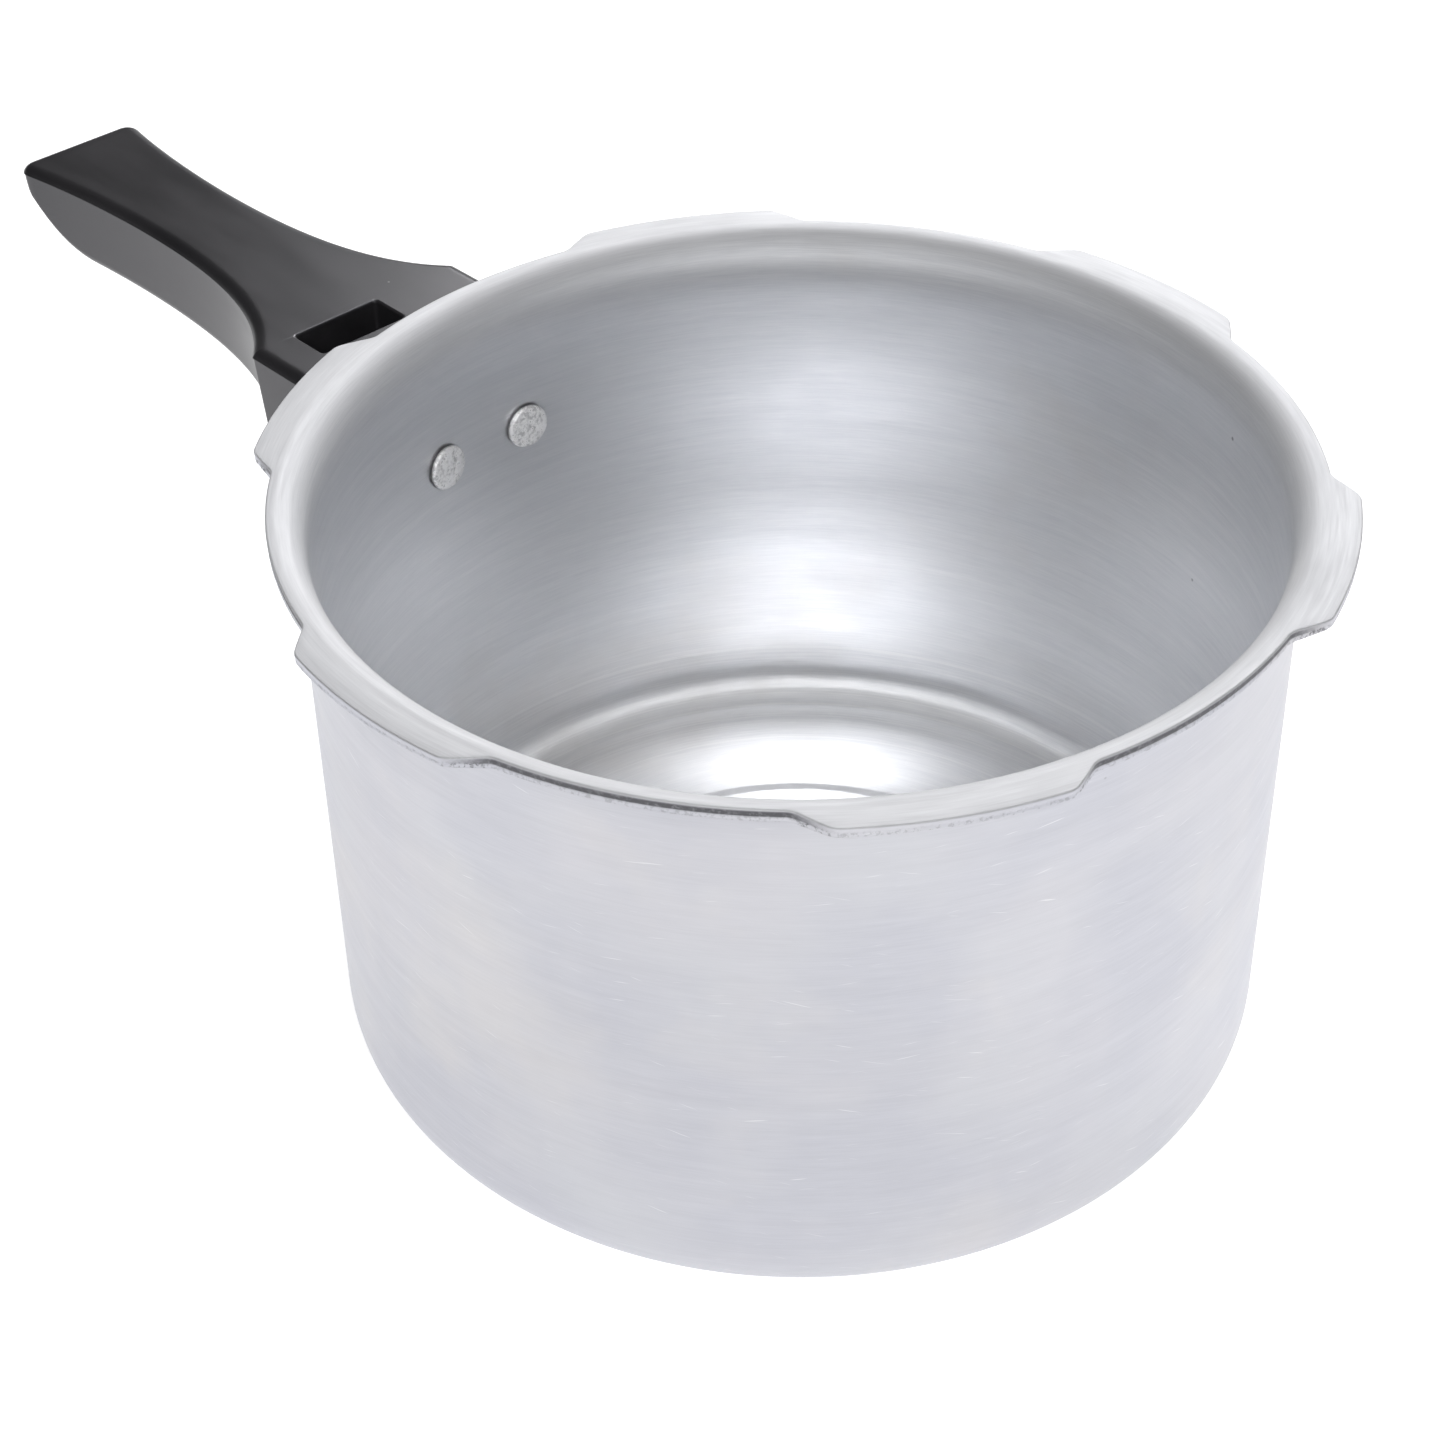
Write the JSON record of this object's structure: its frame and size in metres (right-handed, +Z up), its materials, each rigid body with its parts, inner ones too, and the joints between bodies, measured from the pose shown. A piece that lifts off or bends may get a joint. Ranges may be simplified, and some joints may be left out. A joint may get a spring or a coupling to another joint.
{
  "type": "pressure cooker pan",
  "caption": "Lower pan of a stovetop pressure cooker: a drawn aluminium pan with a lugged bayonet flange and a moulded side handle on a riveted bracket.",
  "frame": {"origin": "on the axis of the pan, on the flat underside of its base", "axes": "+Z up along the axis of the pan, +X out along the handle, +Y across the handle"},
  "size_m": [0.381, 0.227, 0.1357],
  "materials": {
    "pan_aluminium": "satin, turned",
    "rivet_aluminium": "hammered",
    "bracket_steel": "pressed",
    "handle_bakelite": "satin moulded",
    "screw_zinc": "zinc plated"
  },
  "bodies": {
    "root": {"pot_shell": "pan_aluminium", "handle_bracket": "bracket_steel", "rivet_left": "rivet_aluminium", "rivet_right": "rivet_aluminium", "handle": "handle_bakelite", "screw_front": "screw_zinc", "screw_rear": "screw_zinc", "spring_washer_front": "bracket_steel", "spring_washer_rear": "bracket_steel", "plain_washer_front": "screw_zinc", "plain_washer_rear": "screw_zinc", "nut_front": "screw_zinc", "nut_rear": "screw_zinc"}
  },
  "joints": []
}
